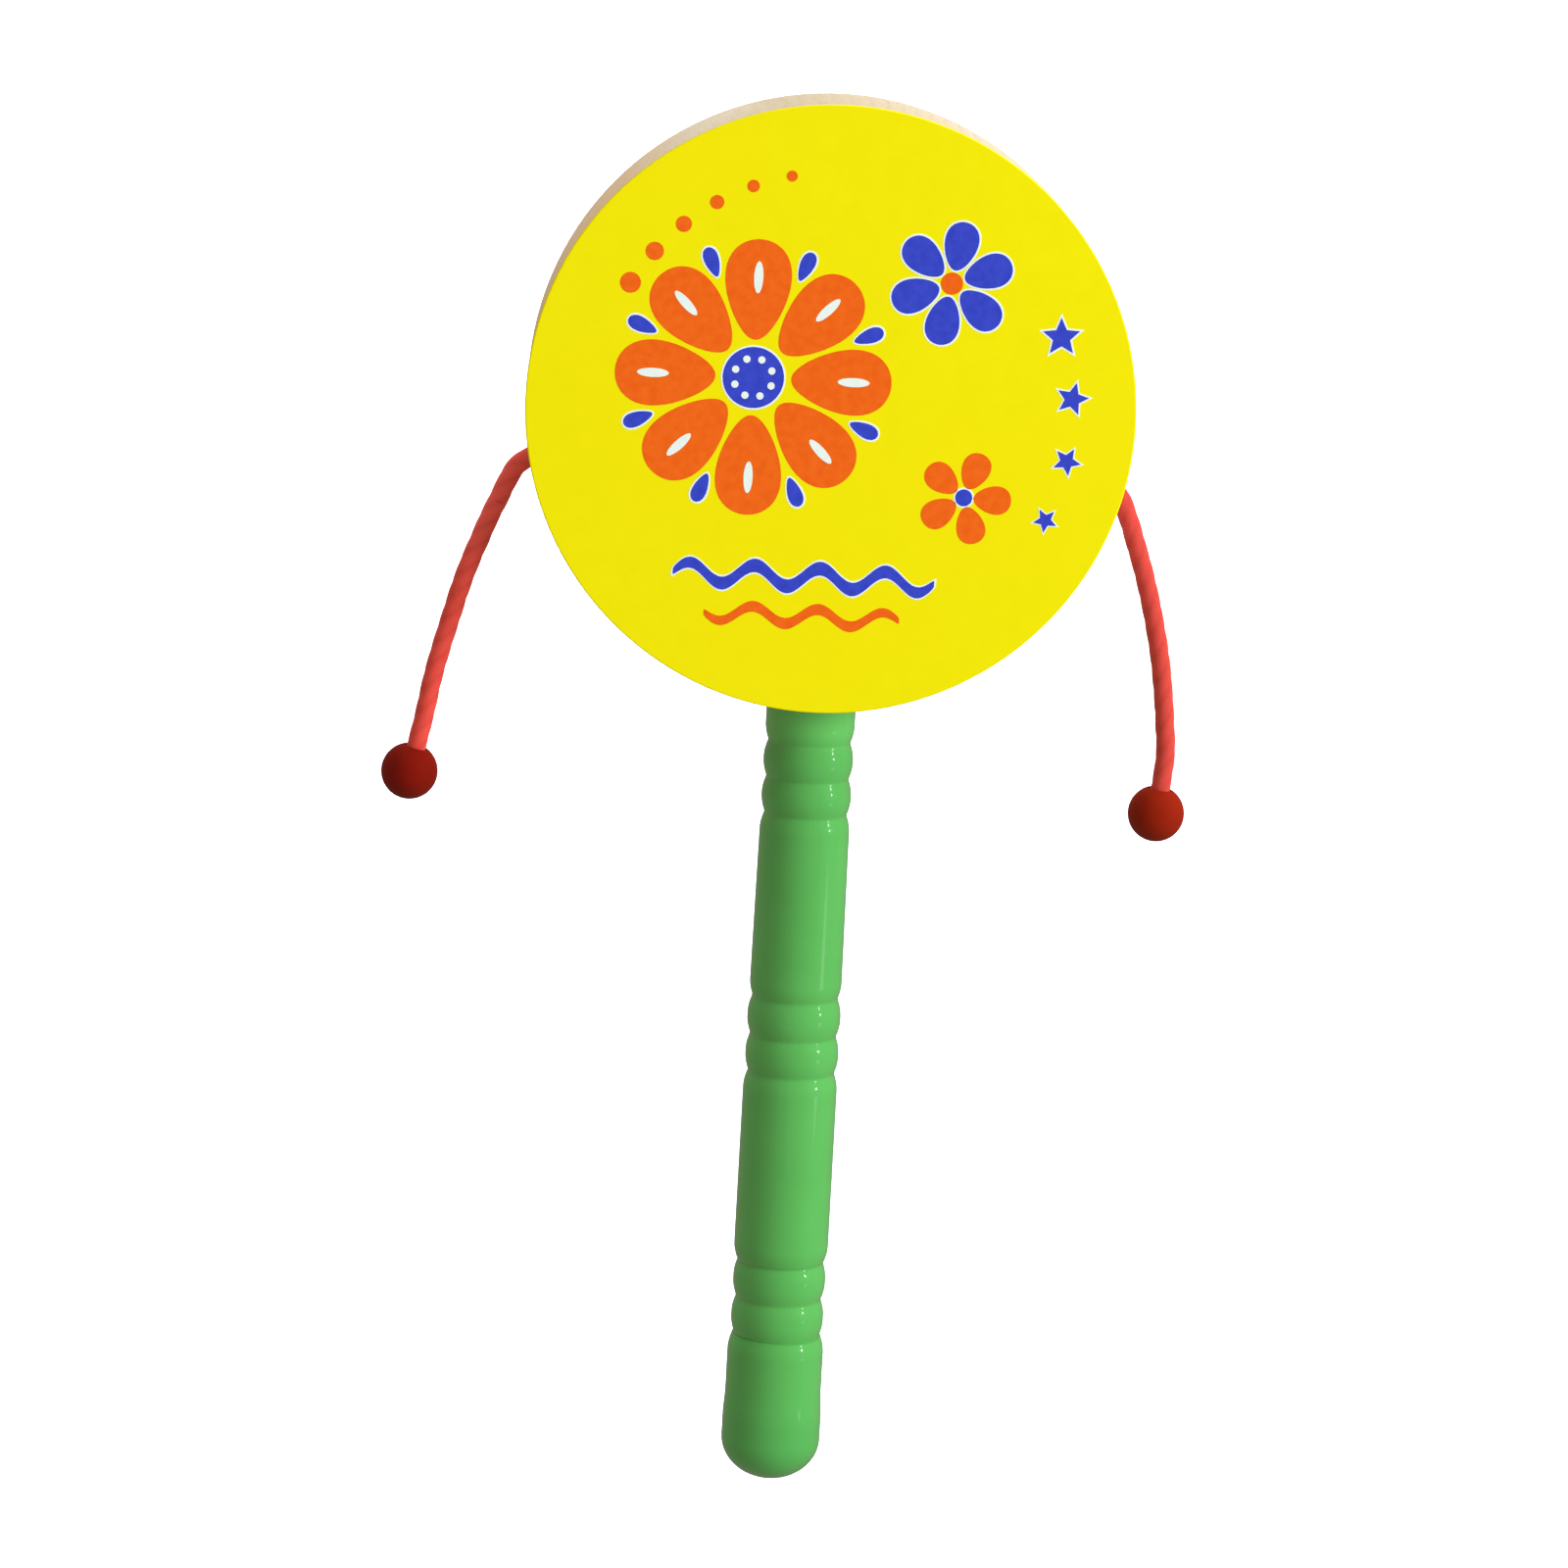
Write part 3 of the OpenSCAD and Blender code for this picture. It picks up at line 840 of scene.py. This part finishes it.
# %% The rule for a printed shape
def shape_outline(tree, given, index):
    """The closed curve of one shape, lying flat: X goes across it and Y along it."""
    circle = circle_curve(tree, given["Points"], 1.0)
    factor = add_node(tree, "GeometryNodeSplineParameter").outputs["Factor"]
    turn = times(tree, factor, 2 * math.pi)
    # Every second point of a star is drawn in; a depth of 1 leaves the outline round.
    drawn_in = times(tree, maths(tree, "MODULO", index, 2.0),
                     maths(tree, "SUBTRACT", given["Star depth"], 1.0))
    reach = plus(tree, 1.0, drawn_in)
    cosine = maths(tree, "COSINE", turn)
    swell = plus(tree, 1.0, times(tree, given["Taper"], cosine))
    across = times(tree, times(tree, maths(tree, "SINE", turn), swell),
                   times(tree, given["Half width"], reach))
    phase = maths(tree, "DIVIDE", times(tree, across, 2 * math.pi), given["Wave length"])
    rise = times(tree, given["Wave height"], maths(tree, "SINE", phase))
    # A fullness of 1 gives an oval, and a small one a band of nearly even width.
    height = times(tree, maths(tree, "SIGN", cosine),
                   maths(tree, "POWER", maths(tree, "ABSOLUTE", cosine), given["Fullness"]))
    along = plus(tree, rise, times(tree, height, times(tree, given["Half length"], reach)))
    return add_node(tree, "GeometryNodeSetPosition",
                    {"Geometry": circle, "Position": joined(tree, X=across, Y=along)}).outputs[0]


def ink_slab(tree, outline, thickness):
    """A closed slab: the raised copy brings the sides, and the sheet, turned over, the underside."""
    sheet = add_node(tree, "GeometryNodeFillCurve", {"Curve": outline}, mode="TRIANGLES").outputs[0]
    raised = add_node(tree, "GeometryNodeExtrudeMesh",
                      {"Mesh": sheet, "Offset Scale": thickness, "Individual": False},
                      mode="FACES").outputs[0]
    under = add_node(tree, "GeometryNodeFlipFaces", {"Mesh": sheet}).outputs[0]
    both = add_node(tree, "GeometryNodeJoinGeometry")
    tree.links.new(raised, both.inputs[0])
    tree.links.new(under, both.inputs[0])
    return add_node(tree, "GeometryNodeMergeByDistance",
                    {"Geometry": both.outputs[0], "Distance": 0.001 * MM}).outputs[0]


def printed_shape_tree():
    tree, given = geometry_tree(
        "printed_shape", Points="Int", Half_width="Float", Half_length="Float", Taper="Float",
        Star_depth="Float", Fullness="Float", Wave_height="Float", Wave_length="Float",
        Thickness="Float", Copies="Int", Ring_radius="Float", First_angle="Float", Step_angle="Float",
        Shrink="Float", Centre="Vector", Face="Vector", Finish="Material")
    index = add_node(tree, "GeometryNodeInputIndex").outputs[0]
    slab = ink_slab(tree, shape_outline(tree, given, index), given["Thickness"])
    angle = plus(tree, given["First angle"], times(tree, index, given["Step angle"]))
    spoke = joined(tree, X=maths(tree, "SINE", angle), Y=maths(tree, "COSINE", angle))
    from_centre = vector_maths(tree, "SCALE", {0: spoke, "Scale": given["Ring radius"]})[0]
    spot = vector_maths(tree, "ADD", {0: from_centre, 1: given["Centre"]})[0]
    points = add_node(tree, "GeometryNodePoints",
                      {"Count": given["Copies"], "Position": spot}).outputs[0]
    # Later copies may be smaller across, but every copy is as thick as the first.
    scale = maths(tree, "POWER", given["Shrink"], index)
    copies = add_node(tree, "GeometryNodeInstanceOnPoints",
                      {"Points": points, "Instance": slab,
                       "Rotation": joined(tree, Z=times(tree, angle, -1.0)),
                       "Scale": joined(tree, X=scale, Y=scale, Z=1.0)}).outputs[0]
    # The shapes were laid out on the ground; here they are stood up against the drum's front.
    stood = add_node(tree, "GeometryNodeTransform",
                     {"Geometry": copies, "Translation": given["Face"],
                      "Rotation": (math.pi / 2, 0, 0)}).outputs[0]
    close_tree(tree, stood, given["Finish"])
    return tree


printed_shape = printed_shape_tree()
print("tree:", printed_shape.name, "with", len(printed_shape.nodes), "nodes")

# %% The inks
INK_STEP = 0.03 * MM      # thickness of one layer of ink
INK_SINK = 0.05 * MM      # how far the slabs reach into the head, so that no gap shows under them


def ink_material(name, colour, light):
    """Ink with the fine mottle of a screen print, between two near colours."""
    made, tree, shader = new_material(name, Roughness=0.5, Specular_IOR_Level=0.15)
    mottle = noise(tree, object_point(tree), scale=700, detail=4)
    ink = blend_colour(tree, stretch(tree, mottle, 0.3, 0.7), colour, light)
    tree.links.new(ink, shader.inputs["Base Color"])
    bumped(tree, shader, mottle, distance=0.01 * MM, strength=0.3)
    return made


ORANGE_INK = ink_material("orange_ink", (0.80, 0.118, 0.006), (0.86, 0.150, 0.010))
BLUE_INK = ink_material("blue_ink", (0.030, 0.052, 0.56), (0.042, 0.070, 0.66))
WHITE_INK = ink_material("white_ink", (0.76, 0.90, 0.92), (0.82, 0.95, 0.97))
print("inks:", ORANGE_INK.name, BLUE_INK.name, WHITE_INK.name)

# %% Printing
def print_shapes(name, ink, centre, half_width, half_length, layer=1, points=96, taper=0.0,
                 star_depth=1.0, fullness=1.0, wave=(0.0, 1.0), copies=1, ring=0.0, first=0.0,
                 step=0.0, shrink=1.0):
    """Prints copies of one shape round a ring. Sizes are in millimetres, and angles in degrees."""
    made = grow(name, bpy.data.meshes.new(name), printed_shape, Points=points,
                Half_width=half_width * MM, Half_length=half_length * MM, Taper=taper,
                Star_depth=star_depth, Fullness=fullness, Wave_height=wave[0] * MM,
                Wave_length=wave[1] * MM, Thickness=INK_SINK + layer * INK_STEP, Copies=copies,
                Ring_radius=ring * MM, First_angle=math.radians(first), Step_angle=math.radians(step),
                Shrink=shrink, Centre=(centre[0] * MM, centre[1] * MM + DRUM_CENTRE.z, 0),
                Face=(0, FACE_Y + INK_SINK, 0), Finish=ink)
    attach(made, "drum")
    print(made.name, len(made.data.polygons), "faces")


def print_rimmed(name, ink, centre, half_width, half_length, rim, **rule):
    """Prints a shape on a wider white one, so that a pale line shows all round it."""
    print_shapes(name + "_rim", WHITE_INK, centre, half_width + rim, half_length + rim, **rule)
    print_shapes(name, ink, centre, half_width, half_length, layer=2, **rule)


print("shapes can be printed")

# %% Three flowers
BIG_FLOWER, BLUE_FLOWER, SMALL_FLOWER = (-13, 5), (18.5, 22), (22.5, -13)
RIM = 0.3
print_shapes("big_flower_petals", ORANGE_INK, BIG_FLOWER, 5.2, 8.2, taper=0.3, copies=8, ring=14.4,
             step=45)
print_shapes("big_flower_veins", WHITE_INK, BIG_FLOWER, 0.75, 2.6, layer=2, copies=8, ring=16.4,
             step=45)
print_rimmed("big_flower_drops", BLUE_INK, BIG_FLOWER, 1.15, 2.5, RIM, taper=0.35, copies=8, ring=20,
             first=22.5, step=45)
print_rimmed("big_flower_eye", BLUE_INK, BIG_FLOWER, 5.0, 5.0, RIM)
print_shapes("big_flower_seeds", WHITE_INK, BIG_FLOWER, 0.6, 0.6, layer=3, points=32, copies=8,
             ring=3.2, first=22.5, step=45)
print_rimmed("blue_flower_petals", BLUE_INK, BLUE_FLOWER, 2.7, 4.0, RIM, taper=0.25, copies=6,
             ring=6.2, first=10, step=60)
print_shapes("blue_flower_eye", ORANGE_INK, BLUE_FLOWER, 1.8, 1.8, layer=2, points=64)
print_shapes("small_flower_petals", ORANGE_INK, SMALL_FLOWER, 2.3, 3.1, taper=0.25, copies=5,
             ring=4.7, first=20, step=72)
print_rimmed("small_flower_eye", BLUE_INK, SMALL_FLOWER, 1.4, 1.4, RIM, points=64)

# %% Stars, dots and waves round them
DRUM_MIDDLE = (0, 0)
STAR_RIM = 0.75      # a star's edges lie nearer its middle, so its rim takes more
print_rimmed("star_row", BLUE_INK, DRUM_MIDDLE, 3.2, 3.2, STAR_RIM, points=10, star_depth=0.46,
             copies=4, ring=39.5, first=69, step=15, shrink=0.86)
print_shapes("dot_row", ORANGE_INK, DRUM_MIDDLE, 1.7, 1.7, points=48, copies=6, ring=39, first=-60,
             step=9.5, shrink=0.88)
print_rimmed("upper_wave", BLUE_INK, (-3, -27.5), 21.5, 1.15, RIM, points=400, fullness=0.3,
             wave=(1.6, 10.75))
print_shapes("lower_wave", ORANGE_INK, (-3, -34.0), 16.1, 0.95, points=400, fullness=0.3,
             wave=(1.3, 10.75))

# %% [markdown]
# The studio is plain: a white floor that sweeps up behind the toy, and warm dim light from all round. A
# large soft lamp stands at the right front, with a weaker one overhead and one that lights the wall.
# Three small lamps beside the large one show only in reflections. Two give the lacquer its pairs of
# bright dots, and the low one gives it the long streaks down the barrels.

# %% The floor, in metres
FLOOR_Z = -0.26
FLOOR_REACH = 2.2
FLOOR_HALF_WIDTH = 3
SWEEP_RADIUS = 0.8
SWEEP_STEPS = 24
WALL_HEIGHT = 2.6
PAPER_COLOUR = (0.74, 0.84, 1.0, 1)


def add_floor():
    """One sheet: level in front, then a quarter circle up to an upright wall."""
    rows = [(-FLOOR_REACH, 0.0)]
    for i in range(SWEEP_STEPS + 1):
        a = math.pi / 2 * i / SWEEP_STEPS
        rows.append((FLOOR_REACH - SWEEP_RADIUS + SWEEP_RADIUS * math.sin(a),
                     SWEEP_RADIUS * (1 - math.cos(a))))
    rows.append((FLOOR_REACH, WALL_HEIGHT))
    points = [(x, y, FLOOR_Z + z) for y, z in rows for x in (-FLOOR_HALF_WIDTH, FLOOR_HALF_WIDTH)]
    faces = [(2 * i, 2 * i + 1, 2 * i + 3, 2 * i + 2) for i in range(len(rows) - 1)]
    mesh = bpy.data.meshes.new("studio_floor")
    mesh.from_pydata(points, [], faces)
    mesh.shade_smooth()
    # The paper is faintly blue, which cancels the warm light on it, and glows a little, so that it
    # stays pale where the lamps do not reach.
    paper = new_material("studio_paper", Base_Color=PAPER_COLOUR, Roughness=0.8,
                         Emission_Color=(1, 1, 1, 1), Emission_Strength=0.4)[0]
    mesh.materials.append(paper)
    made = new_object("studio_floor", mesh)
    # Only the camera and shadows meet the sheet, so that its white does not fog the lacquer.
    made.visible_glossy = False
    made.visible_diffuse = False
    return made


floor = add_floor()
print(floor.name, "with", len(floor.data.polygons), "faces")

# %% The light from all round
SKY_WARM = (1.0, 0.88, 0.68, 1)
WHITE_STRENGTH = 0.95
GLOW, GLOW_IN_REFLECTIONS = 0.46, 0.25


def add_sky():
    """The open sides look white to the camera and light the toy with a warm glow. In reflections they
    are dim, as if dark cloth hung beside the toy, which keeps the edges of the lacquer deep."""
    world = bpy.data.worlds.new("studio")
    bpy.context.scene.world = world
    world.use_nodes = True
    tree = world.node_tree
    ray = add_node(tree, "ShaderNodeLightPath").outputs
    warm = tree.nodes["Background"]
    warm.inputs["Color"].default_value = SKY_WARM
    glow = stretch(tree, ray["Is Glossy Ray"], 0.0, 1.0, GLOW, GLOW_IN_REFLECTIONS)
    tree.links.new(glow, warm.inputs["Strength"])
    white = add_node(tree, "ShaderNodeBackground",
                     {"Color": (1, 1, 1, 1), "Strength": WHITE_STRENGTH})
    both = add_node(tree, "ShaderNodeMixShader",
                    {0: ray["Is Camera Ray"], 1: warm.outputs[0], 2: white.outputs[0]})
    tree.links.new(both.outputs[0], tree.nodes["World Output"].inputs["Surface"])
    return world


print("sky:", add_sky().name)

# %% The lamps
def add_lamp(name, azimuth, elevation, distance, size, power, aim=DRUM_CENTRE, glossy=True,
             diffuse=True):
    """A lamp that faces its aim from these angles, in degrees. Lengths are in metres."""
    data = bpy.data.lights.new(name, "AREA")
    data.shape = "RECTANGLE" if diffuse else "ELLIPSE"
    data.size, data.size_y = size
    data.energy = power
    made = new_object(name, data)
    back = towards(math.radians(azimuth), math.radians(elevation))
    made.location = aim + back * distance
    made.rotation_mode = "QUATERNION"
    made.rotation_quaternion = back.to_track_quat("Z", "Y")
    made.visible_glossy = glossy
    made.visible_diffuse = diffuse


WALL_POINT = Vector((0, 1.9, 0))
add_lamp("key", 58, 14, 2.2, size=(1.35, 1.35), power=57, glossy=False)
add_lamp("overhead", 10, 80, 1.5, size=(1.4, 1.4), power=7, glossy=False)
add_lamp("wall_wash", 0, 50, 1.6, size=(2.4, 1.0), power=60, glossy=False, aim=WALL_POINT)
add_lamp("upper_dot", 67, 15.3, 1.2, size=(0.1, 0.1), power=0.3, diffuse=False)
add_lamp("lower_dot", 67, 3.8, 1.2, size=(0.1, 0.1), power=0.46, diffuse=False)
add_lamp("streak", 66, -16.8, 1.2, size=(0.2, 0.112), power=0.075, diffuse=False)
bpy.context.scene.view_settings.view_transform = "Standard"
